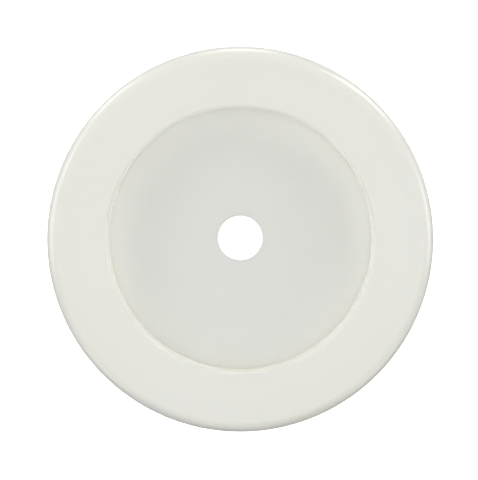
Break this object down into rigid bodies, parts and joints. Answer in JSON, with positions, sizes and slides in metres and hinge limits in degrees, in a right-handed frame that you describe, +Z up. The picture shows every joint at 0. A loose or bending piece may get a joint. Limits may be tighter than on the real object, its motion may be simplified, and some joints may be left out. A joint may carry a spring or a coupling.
{
  "type": "recessed ceiling plate for a fire sprinkler head",
  "caption": "Round white two-piece recessed escutcheon for a half-inch fire sprinkler head: a trim ring that slides on a cup with a through hole.",
  "frame": {"origin": "on the plate's axis, in the plane of the ceiling or wall surface that it covers", "axes": "+Y along the plate's axis into the ceiling or wall, -Y out of its face into the room, +Z up and +X to the right as the face is looked at"},
  "size_m": [0.19, 0.0202, 0.19],
  "materials": {
    "ring_plastic": "polished ivory-white moulding",
    "cup_plastic": "satin cool-white moulding",
    "gasket_foam": "closed-cell foam",
    "spring_steel": "rolled spring strip",
    "rivet_aluminium": "plain"
  },
  "bodies": {
    "cup": {"recess_cup": "cup_plastic", "friction_spring_1": "spring_steel", "friction_spring_2": "spring_steel", "friction_spring_3": "spring_steel", "friction_spring_4": "spring_steel", "spring_rivet_1": "rivet_aluminium", "spring_rivet_2": "rivet_aluminium", "spring_rivet_3": "rivet_aluminium", "spring_rivet_4": "rivet_aluminium", "spring_rivet_5": "rivet_aluminium", "spring_rivet_6": "rivet_aluminium", "spring_rivet_7": "rivet_aluminium", "spring_rivet_8": "rivet_aluminium"},
    "trim": {"trim_ring": "ring_plastic", "ceiling_gasket": "gasket_foam"}
  },
  "joints": [
    {"name": "ring_slide", "type": "slide", "parent": "cup", "child": "trim", "axis": [0, -1, 0], "range_m": [0, 0.0064]}
  ]
}
